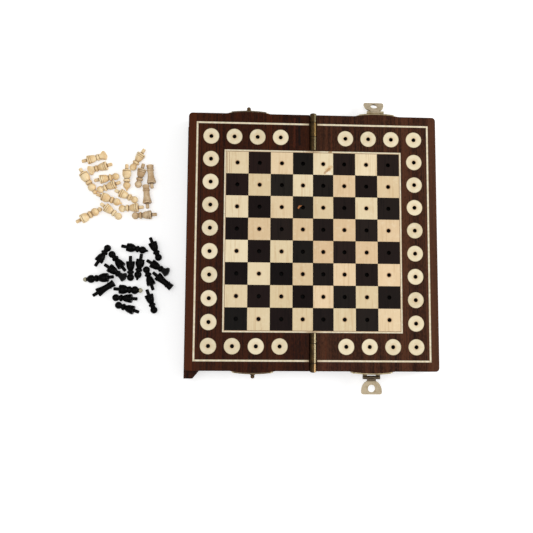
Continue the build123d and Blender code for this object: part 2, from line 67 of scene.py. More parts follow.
# Sizes of the inlay's pattern
squares_across = 4
squares_along = 8
fold_square_cut = 1.6
disc_diameter = 12.8
discs_along = 10
discs_across = 4
hole_diameter = 3.2
stringing_width = 1.7
stringing_hinge_start = 3.25
edge_ease = 0.12
hole_ease = 0.22
joint_gap = 0.14
slack = 0.02
face_unevenness = 0.03
disc_fall = 0.01
flat_share_of_disc = 0.62
square_segments = 32
disc_segments = 48
shift_range = 90

# Places on the box that the finishes follow
end_wall = 4.0
plate_margin = 1.0
mouth_depth = 0.4
floor_margin = 0.1
hinge_proud = 0.2
clasp_top_edge = 0.8
plate_swell = 0.7
tab_neck = (6.0, 7.0)
smooth_angle = 35

# Joints between the hinges' knuckles, as places along the fold
far_knuckles = (84.1, 95.9)
near_knuckles = (-80.9, -96.4)

# Butt joints in the pale lines that show on the real board, as places along each strip
outer_joints = {LEFT: 25.7, RIGHT: -40.6}
inner_joints = {LEFT: 20.6, RIGHT: -44.1}
across_joints = {LEFT: (-7.8, 72.0), RIGHT: (14.4, -72.0)}

# Dark men with a bone tip: the way their heads point, in degrees, and where the tip starts
bone_tips = {"dark_king": (186, 9.8), "dark_queen": (357, 9.0)}

# The light men from here on towards the board are greyer
grey_men_start = -141

# Camera: it was found by matching the board's corners, inlay and clasps
camera_place = (-59.0, -66.9, 509.5)
camera_turn = (5.32, -2.62, 0.43)
picture_width = 533
focal_pixels = 625
sensor_width = 36
near_limit = 10

# Floor, with its size in metres, and surroundings
floor_size = 6
floor_drop = 0.2
floor_glow = (0.45, 0.8)
glow_reach = (250, 900)
sky_light = 0.48

# Lamps: name, place and size in metres, and power in watts
lamps = (("window", (0.75, 0.1, 0.42), 0.5, 4.4), ("overhead", (-0.25, -0.1, 1.0), 0.9, 3.5))

random.seed(7)


def srgb(red, green, blue):
    """A colour as a picture shows it, 0 to 255, as the light values that shaders take."""
    def light(value):
        value = value / 255
        return value / 12.92 if value <= 0.04045 else ((value + 0.055) / 1.055) ** 2.4

    return (light(red), light(green), light(blue), 1)


class Finish:
    """A material under construction, with short ways to add its nodes."""

    def __init__(self, name, roughness=0.5, metallic=0.0, gloss=0.5):
        self.material = bpy.data.materials.new(name)
        self.material.use_nodes = True
        self.tree = self.material.node_tree
        self.shader = self.tree.nodes["Principled BSDF"]
        self.shader.inputs["Roughness"].default_value = roughness
        self.shader.inputs["Metallic"].default_value = metallic
        self.shader.inputs["Specular IOR Level"].default_value = gloss

    def feed(self, socket, value):
        """Set a socket from a number or colour, or link it to another node's output."""
        if isinstance(value, bpy.types.NodeSocket):
            self.tree.links.new(value, socket)
        else:
            socket.default_value = value

    def node(self, kind, inputs, **settings):
        """Add a node, set it up and feed its sockets."""
        node = self.tree.nodes.new("ShaderNode" + kind)
        for name, value in settings.items():
            setattr(node, name, value)
        for key, value in inputs.items():
            self.feed(node.inputs[key], value)
        return node

    def place(self, stretch=(1, 1, 1), shift=(0, 0, 0), point=None):
        """The point on the piece in millimetres, squeezed or stretched along each axis."""
        scale = stretch
        if point is None:
            point = self.node("TexCoord", {}).outputs["Object"]
            scale = tuple(value / MM for value in stretch)
        moved = {"Vector": point, "Scale": scale, "Location": shift}
        return self.node("Mapping", moved).outputs["Vector"]

    def axes(self):
        """The point's three coordinates in millimetres."""
        return self.node("SeparateXYZ", {"Vector": self.place()}).outputs

    def all_of(self, *masks):
        """Several masks multiplied together."""
        total = masks[0]
        for mask in masks[1:]:
            total = self.maths("MULTIPLY", total, mask)
        return total

    def attribute(self, name, output):
        """A value that was stored on the mesh."""
        return self.node("Attribute", {}, attribute_name=name).outputs[output]

    def noise(self, vector, scale, detail, roughness, distortion=0.0):
        """Noise between 0 and 1."""
        inputs = {"Vector": vector, "Scale": scale, "Detail": detail,
                  "Roughness": roughness, "Distortion": distortion}
        return self.node("TexNoise", inputs).outputs["Fac"]

    def maths(self, kind, first, second=0.0):
        """One sum, product, comparison and so on."""
        return self.node("Math", {0: first, 1: second}, operation=kind).outputs[0]

    def above(self, value, limit):
        """1 where a value is greater than a limit, else 0."""
        return self.maths("GREATER_THAN", value, limit)

    def below(self, value, limit):
        """1 where a value is less than a limit, else 0."""
        return self.maths("LESS_THAN", value, limit)

    def reach(self, value, middle=0.0):
        """How far a value is from a middle, either way."""
        if middle:
            value = self.maths("SUBTRACT", value, middle)
        return self.maths("ABSOLUTE", value)

    def scaled(self, value, factor):
        """A value times a number."""
        return self.maths("MULTIPLY", value, factor)

    def arrow(self, kind, first, second=(0, 0, 0), output="Vector"):
        """One sum or product of points and directions."""
        return self.node("VectorMath", {0: first, 1: second}, operation=kind).outputs[output]

    def length(self, vector):
        """A vector's length."""
        return self.arrow("LENGTH", vector, output="Value")

    def band(self, value, low, high, start=0.0, end=1.0):
        """A smooth step from start to end as a value goes from low to high."""
        inputs = {"Value": value, "From Min": low, "From Max": high, "To Min": start, "To Max": end}
        return self.node("MapRange", inputs, interpolation_type="SMOOTHSTEP").outputs[0]

    def mix(self, amount, first, second):
        """Two colours mixed by an amount."""
        inputs = {0: amount, 6: first, 7: second}
        return self.node("Mix", inputs, data_type="RGBA").outputs[2]

    def bump(self, height, distance, strength):
        """Raise the surface by a height pattern, distance in millimetres."""
        inputs = {"Height": height, "Distance": distance * MM, "Strength": strength}
        return self.node("Bump", inputs).outputs["Normal"]

    def finish(self, color, roughness=None, normal=None):
        """Feed the shader and hand over the material."""
        self.feed(self.shader.inputs["Base Color"], color)
        if roughness is not None:
            self.feed(self.shader.inputs["Roughness"], roughness)
        if normal is not None:
            self.feed(self.shader.inputs["Normal"], normal)
        return self.material


# Wood

class Timber:
    """The colours of one piece of rosewood, and of the strip outside its pale line."""

    def __init__(self, base, warm, dark, red, line, rim):
        self.base = base
        self.warm = warm
        self.dark = dark
        self.red = red
        self.line = line
        self.rim = rim


def rosewood(name, shades, seed, bored=False, framed=False):
    """Dark open-grained wood: broad bands, narrow streaks, black lines, fibres and pores.

    Bored wood has pockets and peg holes in it, painted near black inside as shade, and framed wood
    has end walls.
    """
    wood = Finish(name, gloss=0.08)
    point = turned_at_ends(wood) if framed else wood.place()

    def grain(squeeze, shift):
        return wood.place((1, squeeze, 1), (seed + shift, seed - shift, seed), point)

    broad = wood.noise(grain(0.020, 3), 0.10, 4, 0.55, 0.6)
    streak = wood.noise(grain(0.016, 11), 0.48, 5, 0.65, 0.9)
    lines = wood.noise(grain(0.011, 17), 1.25, 3, 0.6, 0.5)
    fibre = wood.noise(grain(0.030, 29), 3.8, 3, 0.6)
    pores = wood.noise(grain(0.110, 47), 6.5, 2, 0.5)
    color = wood.mix(wood.band(broad, 0.36, 0.66), shades.base, shades.warm)
    color = wood.mix(wood.band(streak, 0.50, 0.66, 0, 0.9), color, shades.dark)
    color = wood.mix(wood.band(streak, 0.45, 0.32, 0, 0.65), color, shades.red)
    color = wood.mix(wood.band(lines, 0.54, 0.68, 0, 0.6), color, shades.line)
    color = wood.mix(wood.band(lines, 0.45, 0.34, 0, 0.5), color, shades.warm)
    color = wood.mix(wood.band(fibre, 0.52, 0.75, 0, 0.4), color, shades.dark)
    mottle = wood.noise(wood.place((1, 0.4, 1), (seed, 5, 0), point), 0.9, 4, 0.65)
    color = wood.mix(wood.band(mottle, 0.5, 0.66, 0, 0.55), color, shades.warm)
    color = wood.mix(wood.band(mottle, 0.48, 0.34, 0, 0.55), color, shades.dark)
    pore = wood.band(pores, 0.60, 0.70)
    color = wood.mix(wood.scaled(pore, 0.6), color, shades.line)
    if bored:
        outside = wood.above(wood.reach(wood.axes()["X"]), stringing_x)
        color = wood.mix(wood.scaled(outside, 0.4), color, shades.rim)
        color = streaks_by_fold(wood, color)
        # Painted shade: near black down the peg holes and under the inlay
        color = wood.mix(plate_hollow_shade(wood), color, srgb(8, 5, 4))
    height = wood.maths("SUBTRACT", wood.scaled(fibre, 0.5), pore)
    roughness = wood.band(fibre, 0.3, 0.8, 0.40, 0.56)
    return wood.finish(color, roughness, wood.bump(height, 0.06, 0.6))


def turned_at_ends(wood):
    """The point with X and Y changed over in the end walls, whose grain runs across."""
    point = wood.axes()
    turned = {"X": point["Y"], "Y": point["X"], "Z": point["Z"]}
    swapped = wood.node("CombineXYZ", turned).outputs["Vector"]
    at_end = wood.above(wood.reach(point["Y"]), edge_y - end_wall)
    mixed = {0: at_end, 4: wood.place(), 5: swapped}
    return wood.node("Mix", mixed, data_type="VECTOR").outputs[1]


def streaks_by_fold(wood, color):
    """A black and a red streak that stand out in the far border beside the left hinge."""
    return stains(wood, color, (
        ((-11.0, 78.0), (-11.2, 100.0), 1.0, srgb(14, 8, 6), 0.8),
        ((-15.2, 76.0), (-15.0, 99.0), 0.8, srgb(92, 42, 24), 0.35)))


def plate_hollow_shade(wood):
    """1 down the peg holes and under the inlay of a playing plate, where shade is painted, else 0.
    """
    point = wood.axes()
    across = wood.reach(point["X"])
    along = wood.reach(point["Y"])
    return wood.all_of(
        wood.below(across, outer_x - plate_margin),
        wood.above(across, stringing_hinge_start),
        wood.below(along, stringing_y + plate_margin),
        wood.below(point["Z"], face_height - mouth_depth),
        wood.above(point["Z"], plate_bottom + floor_margin))


def hole_rim(wood, reach):
    """How near a point is to its peg hole: 1 at the rim, fading to 0 at the reach."""
    away = wood.length(wood.attribute("from_hole", "Vector"))
    return wood.band(away, hole_diameter / 2, reach, 1, 0)


def hole_wall_shade(wood, color, brown):
    """Painted shade down a peg hole: brown just inside its mouth, then black further down."""
    depth = wood.attribute("depth", "Fac")
    color = wood.mix(wood.band(depth, 0.05, 0.4), color, brown)
    return wood.mix(wood.band(depth, 0.5, 1.4), color, srgb(9, 6, 4))


def stains(wood, color, rows):
    """Several smears, one over the other: start, end, width, tint and strength of each."""
    for row in rows:
        color = stain(wood, color, *row)
    return color


def stain(wood, color, start, end, width, tint, strength):
    """A smear between two places of the board, in millimetres."""
    point = wood.place()
    run = Vector((end[0] - start[0], end[1] - start[1], 0))
    direction = run.normalized()
    side = Vector((-direction.y, direction.x, 0))
    offset = wood.arrow("SUBTRACT", point, (start[0], start[1], face_height))
    along = wood.arrow("DOT_PRODUCT", offset, direction, "Value")
    across = wood.arrow("DOT_PRODUCT", offset, side, "Value")
    past = wood.maths("SUBTRACT", wood.reach(along, run.length / 2), run.length / 2)
    past = wood.maths("MAXIMUM", past, 0)
    squares = wood.maths("ADD", wood.maths("POWER", past, 2), wood.maths("POWER", across, 2))
    wobble = wood.maths("SUBTRACT", wood.noise(point, 0.9, 4, 0.65), 0.5)
    away = wood.maths("ADD", wood.maths("SQRT", squares), wood.scaled(wobble, width * 2.4))
    amount = wood.band(away, width * 0.7, width * 1.2, strength, 0)
    return wood.mix(amount, color, tint)


def maple():
    """Pale inlaid squares, each of its own shade, with a faint straight grain and some stains."""
    wood = Finish("maple", 0.5, gloss=0.3)
    tone = wood.attribute("tone", "Fac")
    shifted = shifted_grain(wood)
    grain = wood.noise(shifted, 0.55, 4, 0.6, 0.5)
    fine = wood.noise(shifted, 2.6, 4, 0.65)
    mottle = wood.noise(wood.place(), 0.35, 4, 0.6)
    pink = wood.mix(tone, srgb(216, 184, 142), srgb(236, 208, 168))
    yellow = wood.mix(tone, srgb(220, 198, 156), srgb(240, 224, 188))
    color = wood.mix(own_hue(wood), pink, yellow)
    color = wood.mix(wood.band(grain, 0.48, 0.74, 0, 0.6), color, srgb(200, 168, 124))
    color = wood.mix(wood.band(fine, 0.52, 0.76, 0, 0.4), color, srgb(196, 164, 120))
    color = wood.mix(wood.band(mottle, 0.5, 0.74, 0, 0.25), color, srgb(246, 232, 200))
    color = stains(wood, color, (
        ((11.0, 55.6), (13.4, 54.8), 1.5, srgb(248, 238, 216), 0.7),
        ((14.2, 59.8), (11.2, 57.4), 1.6, srgb(206, 166, 112), 0.6),
        ((13.0, 58.4), (9.4, 55.0), 0.9, srgb(172, 128, 80), 0.75),
        ((-68.9, 70.5), (-68.7, 54.0), 0.22, srgb(150, 104, 76), 0.75),
        ((-67.2, 70.5), (-66.9, 54.0), 0.24, srgb(158, 112, 84), 0.7)))
    color = wood.mix(wood.scaled(hole_rim(wood, 2.7), 0.55), color, srgb(172, 126, 86))
    # Painted shade down the peg holes
    color = hole_wall_shade(wood, color, srgb(140, 92, 52))
    height = wood.maths("ADD", wood.scaled(fine, 0.5), grain)
    return wood.finish(color, wood.band(grain, 0.3, 0.8, 0.42, 0.56), wood.bump(height, 0.04, 0.5))


def shifted_grain(wood):
    """A point squeezed along the grain, moved so that no two inlaid pieces match."""
    return wood.arrow("ADD", wood.place((1, 0.05, 1)), wood.attribute("shift", "Vector"))


def own_hue(wood):
    """A value from 0 to 1 that an inlaid piece has for itself, besides its tone."""
    shift = wood.node("SeparateXYZ", {"Vector": wood.attribute("shift", "Vector")}).outputs
    return wood.band(shift["X"], 20, 70)


def ebony():
    """Near-black inlaid squares, some browner and some greyer, with a chip by one hole."""
    wood = Finish("ebony", 0.5, gloss=0.08)
    tone = wood.attribute("tone", "Fac")
    shifted = shifted_grain(wood)
    grain = wood.noise(shifted, 0.6, 4, 0.6, 0.4)
    fine = wood.noise(shifted, 3.0, 4, 0.6)
    reddish = wood.mix(tone, srgb(9, 1, 1), srgb(40, 23, 19))
    greyish = wood.mix(tone, srgb(10, 7, 5), srgb(33, 28, 23))
    color = wood.mix(own_hue(wood), reddish, greyish)
    right = wood.above(wood.axes()["X"], 0)
    color = wood.mix(wood.scaled(right, 0.45), color, srgb(34, 27, 24))
    color = wood.mix(wood.band(grain, 0.50, 0.72, 0, 0.7), color, srgb(9, 5, 4))
    color = wood.mix(wood.band(fine, 0.54, 0.76, 0, 0.45), color, srgb(46, 30, 21))
    raw = srgb(176, 112, 66)
    color = stains(wood, color, (
        ((-11.7, 26.2), (-11.1, 27.4), 0.7, raw, 1.0),
        ((-10.6, 27.7), (-7.9, 27.7), 0.5, raw, 0.9)))
    # Painted shade down the peg holes
    color = hole_wall_shade(wood, color, srgb(10, 7, 6))
    height = wood.maths("ADD", wood.scaled(fine, 0.5), grain)
    return wood.finish(color, wood.band(grain, 0.3, 0.8, 0.38, 0.5), wood.bump(height, 0.04, 0.5))


def holly():
    """The pale lines: fine straight-grained wood, grimy near the fold."""
    wood = Finish("holly", 0.5, gloss=0.3)
    along = wood.noise(wood.place((0.4, 0.4, 1)), 0.9, 4, 0.6)
    fibre = wood.noise(wood.place((2.5, 2.5, 1), (5, 9, 0)), 0.8, 3, 0.6)
    color = wood.mix(wood.band(along, 0.3, 0.7), srgb(214, 198, 164), srgb(240, 229, 202))
    color = wood.mix(wood.band(fibre, 0.52, 0.76, 0, 0.5), color, srgb(196, 172, 132))
    color = field_seam(wood, color, along)
    color = line_edges(wood, color)
    from_fold = wood.reach(wood.axes()["X"])
    color = wood.mix(wood.band(from_fold, 2.5, 8.5, 0.6, 0), color, srgb(176, 146, 108))
    color = stain(wood, color, (12.9, 72.2), (14.6, 72.2), 0.8, srgb(150, 112, 66), 0.8)
    return wood.finish(color, 0.5, wood.bump(fibre, 0.03, 0.4))


def line_edges(wood, color):
    """Thin dark glue along both edges of the outer and of the inner line."""
    half = stringing_width / 2
    outer = past_frame(wood, stringing_x - half, stringing_y - half)
    inner = past_frame(wood, field_x + half, field_y + half)
    nearest = wood.maths("MINIMUM", wood.reach(outer), wood.reach(inner))
    return wood.mix(wood.band(nearest, half - 0.3, half - 0.1, 0, 0.8), color, srgb(84, 58, 38))


def field_seam(wood, color, patches):
    """A tan band along the inner line's edge next to the squares, stronger in places."""
    seam = wood.band(past_frame(wood, field_x, field_y), 0.35, 0.75, 1, 0)
    amount = wood.all_of(seam, wood.band(patches, 0.35, 0.6, 0.25, 0.85))
    return wood.mix(amount, color, srgb(180, 138, 94))


def past_frame(wood, frame_x, frame_y):
    """How far outside a rectangle round the board's middle a point is."""
    point = wood.axes()
    past_x = wood.maths("SUBTRACT", wood.reach(point["X"]), frame_x)
    past_y = wood.maths("SUBTRACT", wood.reach(point["Y"]), frame_y)
    return wood.maths("MAXIMUM", past_x, past_y)


def bone():
    """Polished bone discs with fine turned rings, flecks and a shade of their own."""
    horn = Finish("bone", 0.4)
    tone = horn.attribute("tone", "Fac")
    away = horn.length(horn.attribute("from_hole", "Vector"))
    cloud = horn.noise(horn.place(), 0.28, 4, 0.6)
    fleck = horn.noise(horn.place((1, 0.35, 1)), 3.0, 3, 0.6)
    rings = horn.maths("SINE", horn.scaled(away, 7.5))
    color = horn.mix(tone, srgb(220, 204, 167), srgb(240, 225, 190))
    color = horn.mix(horn.band(cloud, 0.42, 0.7, 0, 0.5), color, srgb(246, 234, 207))
    color = horn.mix(horn.band(fleck, 0.54, 0.72, 0, 0.45), color, srgb(192, 172, 126))
    color = horn.mix(horn.band(rings, 0.2, 1.0, 0, 0.22), color, srgb(184, 168, 128))
    color = horn.mix(horn.scaled(hole_rim(horn, 4.2), 0.4), color, srgb(206, 172, 128))
    color = horn.mix(horn.band(away, 5.6, 6.4, 0, 0.5), color, srgb(182, 164, 122))
    # Painted shade down the peg holes
    color = hole_wall_shade(horn, color, srgb(150, 104, 60))
    height = horn.maths("ADD", horn.scaled(rings, 0.15), fleck)
    return horn.finish(color, horn.band(cloud, 0.3, 0.7, 0.32, 0.46), horn.bump(height, 0.03, 0.4))


def turned_wood(name, light, deep, crease_shade, roughness, gloss, tip=None):
    """Turned, polished wood with a faint grain, painted shade in the grooves, and a pale tip if
    any.
    """
    wood = Finish(name, gloss=gloss)
    cloud = wood.noise(wood.place(), 0.16, 4, 0.6)
    grain = wood.noise(wood.place((1.6, 1.6, 0.4)), 1.1, 4, 0.65, 0.5)
    color = wood.mix(wood.band(cloud, 0.35, 0.68), deep, light)
    color = wood.mix(wood.band(grain, 0.50, 0.74, 0, 0.55), color, deep)
    if tip is not None:
        centre, direction, start = tip
        offset = wood.arrow("SUBTRACT", wood.place(), centre)
        along = wood.arrow("DOT_PRODUCT", offset, direction, "Value")
        color = wood.mix(wood.above(along, start), color, srgb(176, 170, 146))
    # Painted shade: grooves and hollows go to the crease colour, where less light falls
    corner = wood.node("AmbientOcclusion", {"Distance": 1.9 * MM}, samples=12, only_local=True)
    crease_shade_amount = wood.band(corner.outputs["AO"], 0.55, 0.98, 0.95, 0)
    color = wood.mix(crease_shade_amount, color, crease_shade)
    return wood.finish(color, roughness, wood.bump(grain, 0.05, 0.5))


# Metal

def brass(name, clean, tarnish, dark, shine, wear_and_highlight=0.5, spotting=0.8, shade=None):
    """Old brass: dull and brown in places, brighter where hands have rubbed it, and darker in its
    hollows as painted shade.
    """
    metal = Finish(name, metallic=0.85)
    cloud = metal.noise(metal.place(), 0.33, 5, 0.65, 0.4)
    spots = metal.noise(metal.place((1, 1, 1), (17, 3, 9)), 1.6, 4, 0.7)
    scratches = metal.noise(metal.place((1, 0.12, 1), (0, 31, 0)), 5.0, 2, 0.5)
    color = metal.mix(metal.band(cloud, wear_and_highlight - 0.14, wear_and_highlight + 0.16), tarnish, clean)
    color = metal.mix(metal.band(spots, 0.56, 0.76, 0, spotting), color, dark)
    color = metal.mix(metal.band(scratches, 0.60, 0.72, 0, spotting * 0.4), color, dark)
    if shade is not None:
        color = shade(metal, color, spots)
    # Painted shade: darker in the piece's own hollows and corners
    corner = metal.node("AmbientOcclusion", {"Distance": 0.9 * MM}, samples=8, only_local=True)
    color = metal.mix(metal.band(corner.outputs["AO"], 0.4, 0.9, 0.85, 0), color, dark)
    roughness = metal.band(spots, 0.3, 0.8, shine, shine + 0.22)
    height = metal.maths("ADD", metal.scaled(scratches, 0.3), spots)
    return metal.finish(color, roughness, metal.bump(height, 0.05, spotting * 0.75))


def brown_edges(metal, color, spots):
    """Painted shade on the near clasp's lugs round the tab's pin, and darker brown on the left
    plates' top edges.
    """
    point = metal.axes()
    at_top = metal.above(point["Z"], face_height - clasp_top_edge)
    top = metal.all_of(at_top, metal.below(point["X"], 0))
    # Painted shade on the lugs round the near tab's pin
    lugs = metal.below(point["Y"], -edge_y - plate_swell)
    return dark_brown_patches(metal, color, spots, metal.maths("MAXIMUM", top, lugs))


def brown_neck(metal, color, spots):
    """Painted shade where the near tab is rolled round its pin."""
    along = metal.axes()["Y"]
    rolled = metal.band(along, -edge_y - tab_neck[1], -edge_y - tab_neck[0])
    # Painted shade on the tab's rolled neck
    return dark_brown_patches(metal, color, spots, metal.all_of(rolled, metal.below(along, 0)))


def dark_brown_patches(metal, color, spots, where):
    """Patchy dark brown over part of a piece."""
    patchy = metal.band(spots, 0.34, 0.62, 0.98, 0.7)
    return metal.mix(metal.all_of(where, patchy), color, srgb(66, 50, 36))


def painted_highlight_streak(metal, color, spots):
    """A painted highlight down the hinge barrels' right flank, and painted shade at each knuckle
    joint.
    """
    point = metal.axes()
    rise = metal.band(point["X"], 0.1, 0.9)
    fall = metal.band(point["X"], 1.7, 2.3, 1, 0)
    proud = metal.above(point["Z"], face_height + hinge_proud)
    wear_and_highlight = metal.band(spots, 0.42, 0.62, 0.95, 0.5)
    between = (metal.above(point["Y"], far_knuckles[0]), metal.below(point["Y"], far_knuckles[1]))
    far_highlight = metal.mix(metal.all_of(*between), srgb(112, 102, 74), srgb(134, 108, 62))
    end_knuckle = metal.below(point["Y"], near_knuckles[1])
    near_highlight = metal.mix(end_knuckle, srgb(178, 164, 128), srgb(200, 164, 114))
    highlight = metal.mix(metal.above(point["Y"], 0), near_highlight, far_highlight)
    # Painted highlight on the barrels' right flank, broken up by the spots
    color = metal.mix(metal.all_of(rise, fall, proud, wear_and_highlight), color, highlight)
    # Painted shade in the joints between the knuckles
    for joint in far_knuckles + near_knuckles:
        away = metal.reach(point["Y"], joint)
        color = metal.mix(metal.band(away, 0.2, 0.5, 0.85, 0), color, srgb(26, 18, 8))
    return color


# Inlay built in meshes, so that each piece has eased edges and its own shade

def ring(bm, points):
    """New vertices at some (x, y, z) points, in millimetres."""
    return [bm.verts.new((x * MM, y * MM, z * MM)) for x, y, z in points]


def bridge(bm, lower, upper):
    """Close the band between two rings of the same length."""
    count = len(lower)
    for i in range(count):
        j = (i + 1) % count
        bm.faces.new((lower[i], lower[j], upper[j], upper[i]))


def bridge_all(bm, rings):
    """Close the bands between rings, from the first to the last."""
    for first, second in zip(rings, rings[1:]):
        bridge(bm, first, second)


def circle(centre, radius, z, count):
    """Points round a circle."""
    angles = [2 * math.pi * i / count for i in range(count)]
    return [(centre[0] + radius * math.cos(a), centre[1] + radius * math.sin(a), z) for a in angles]


def square_outline(x, y, inset, z, count):
    """Points round a rectangle, spread by angle so that they match a circle's."""
    middle_x, middle_y = sum(x) / 2, sum(y) / 2
    half_x = (x[1] - x[0]) / 2 - inset
    half_y = (y[1] - y[0]) / 2 - inset
    points = []
    for i in range(count):
        angle = 2 * math.pi * i / count + math.pi / 4
        reach_x, reach_y = math.cos(angle), math.sin(angle)
        limit = max(abs(reach_x), abs(reach_y))
        point = (middle_x + half_x * reach_x / limit, middle_y + half_y * reach_y / limit, z)
        points.append(point)
    return points


def hole_rings(bm, centre, top, count, turn=0.0):
    """The peg hole's wall, its eased rim and the face's innermost ring."""
    radius = hole_diameter / 2
    depths = ((radius, inlay_floor), (radius, top - hole_ease), (radius + hole_ease, top))
    rings = []
    for size, z in depths:
        points = circle((0, 0), size, z, count)
        turned = [(centre[0] + x * math.cos(turn) - y * math.sin(turn),
                   centre[1] + x * math.sin(turn) + y * math.cos(turn), z) for x, y, z in points]
        rings.append(ring(bm, turned))
    bridge_all(bm, rings)
    return rings


def add_square(bm, x, y, top):
    """One inlaid square with eased edges and a peg hole."""
    count = square_segments
    centre = (sum(x) / 2, sum(y) / 2)
    inner = hole_rings(bm, centre, top, count, math.pi / 4)
    face = ring(bm, square_outline(x, y, edge_ease, top, count))
    rim = ring(bm, square_outline(x, y, slack, top - edge_ease, count))
    foot = ring(bm, square_outline(x, y, slack, inlay_floor, count))
    bridge_all(bm, [inner[-1], face, rim, foot, inner[0]])
    return centre


def add_disc(bm, centre, top):
    """One bone disc with eased edges and a peg hole."""
    count = disc_segments
    radius = disc_diameter / 2 - slack
    inner = hole_rings(bm, centre, top, count)
    outline = (
        (radius * flat_share_of_disc, top), (radius - edge_ease, top - disc_fall),
        (radius, top - edge_ease), (radius, inlay_floor),
    )
    rings = [inner[-1]] + [ring(bm, circle(centre, size, z, count)) for size, z in outline]
    bridge_all(bm, rings + [inner[0]])
    return centre


def inlay_piece(node, parts, adder, material, body):
    """One mesh of many inlaid parts, each with its own tone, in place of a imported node."""
    bm = bmesh.new()
    tones, depths = [bm.verts.layers.float.new(name) for name in ("tone", "depth")]
    offsets, shifts = [bm.verts.layers.float_vector.new(name) for name in ("from_hole", "shift")]
    for part in parts:
        known = set(bm.verts)
        top = face_height - random.uniform(0, face_unevenness)
        centre = adder(bm, *part, top)
        tone = random.random()
        shift = Vector([random.uniform(0, shift_range) for _ in range(3)])
        for vertex in set(bm.verts) - known:
            point = vertex.co / MM
            vertex[tones] = tone
            vertex[depths] = depth_in_hole(point, centre, top)
            vertex[offsets] = (point.x - centre[0], point.y - centre[1], 0)
            vertex[shifts] = shift
    bmesh.ops.recalc_face_normals(bm, faces=bm.faces)
    mesh = bpy.data.meshes.new(node + "_inlaid")
    bm.to_mesh(mesh)
    bm.free()
    piece = bpy.data.objects.new(node + "_inlaid", mesh)
    bpy.context.collection.objects.link(piece)
    mesh.materials.append(material)
    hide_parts(node)
    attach(piece, body)


def depth_in_hole(point, centre, top):
    """How far down a peg hole's wall a vertex is, or 0 elsewhere."""
    away = math.hypot(point.x - centre[0], point.y - centre[1])
    return top - point.z if away < hole_diameter / 2 + slack / 2 else 0.0


def square_places(side, light):
    """Ranges (x, y) of one half's squares of one shade, lowest first."""
    width = (field_x + fold_square_cut) / squares_across
    length = 2 * field_y / squares_along
    places = []
    for column in range(squares_across):
        high = (column + 1) * width - fold_square_cut
        low = fold_gap if column == 0 else high - width
        from_left = squares_across + column if side == RIGHT else squares_across - 1 - column
        for row in range(squares_along):
            start = row * length - field_y
            from_far = squares_along - 1 - row
            if ((from_left + from_far) % 2 == 0) == light:
                x = tuple(sorted((side * low, side * high)))
                places.append((x, (start, start + length)))
    return places


def disc_places(side):
    """Centres of one half's bone discs."""
    first_x = disc_reach_x - disc_diameter / 2
    first_y = disc_reach_y - disc_diameter / 2
    pitch = 2 * first_y / (discs_along - 1)
    places = [(side * first_x, first_y - step * pitch) for step in range(discs_along)]
    for end in (1, -1):
        row = [first_x - step * pitch for step in range(1, discs_across)]
        places += [(side * x, end * first_y) for x in row]
    return [(place,) for place in places]


def add_strip(bm, x, y, top):
    """One length of stringing with eased long edges."""
    outline = ((slack, inlay_floor), (slack, top - edge_ease), (edge_ease, top))
    rings = [ring(bm, square_outline(x, y, inset, z, 4)) for inset, z in outline]
    bridge_all(bm, rings)
    bm.faces.new(rings[-1])
    bm.faces.new(reversed(rings[0]))
    return (sum(x) / 2, sum(y) / 2)


def split(run, joints):
    """Cut a range at its butt joints, with a hairline gap at each."""
    ends = [run[0]]
    for joint in sorted(joint for joint in joints if run[0] < joint < run[1]):
        ends += [joint - joint_gap / 2, joint + joint_gap / 2]
    ends.append(run[1])
    return list(zip(ends[::2], ends[1::2]))


def stringing_strips(side):
    """Both pale lines of one half, cut at their joints."""
    strips = []
    frames = (
        (stringing_x, stringing_y, stringing_hinge_start, outer_joints),
        (field_x + stringing_width, field_y + stringing_width, fold_gap, inner_joints),
    )
    for reach_x, reach_y, start_x, joints in frames:
        x = tuple(sorted((side * (reach_x - stringing_width), side * reach_x)))
        for run in split((-reach_y, reach_y), [joints[side]]):
            strips.append((x, run))
        for end in (1, -1):
            y = tuple(sorted((end * (reach_y - stringing_width), end * reach_y)))
            run = tuple(sorted((side * start_x, side * (reach_x - stringing_width))))
            joint, joint_y = across_joints[side]
            cuts = [joint] if y[0] < joint_y < y[1] else []
            strips += [(piece, y) for piece in split(run, cuts)]
    return strips


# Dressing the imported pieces

def dress(material, *nodes):
    """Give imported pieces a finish."""
    for node in nodes:
        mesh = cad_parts[node].data
        mesh.materials.clear()
        mesh.materials.append(material)


def smooth(*nodes):
    """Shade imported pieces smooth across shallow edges."""
    for node in nodes:
        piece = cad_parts[node]
        bpy.context.view_layer.objects.active = piece
        for other in bpy.context.selected_objects:
            other.select_set(False)
        piece.select_set(True)
        bpy.ops.object.shade_smooth_by_angle(angle=math.radians(smooth_angle))


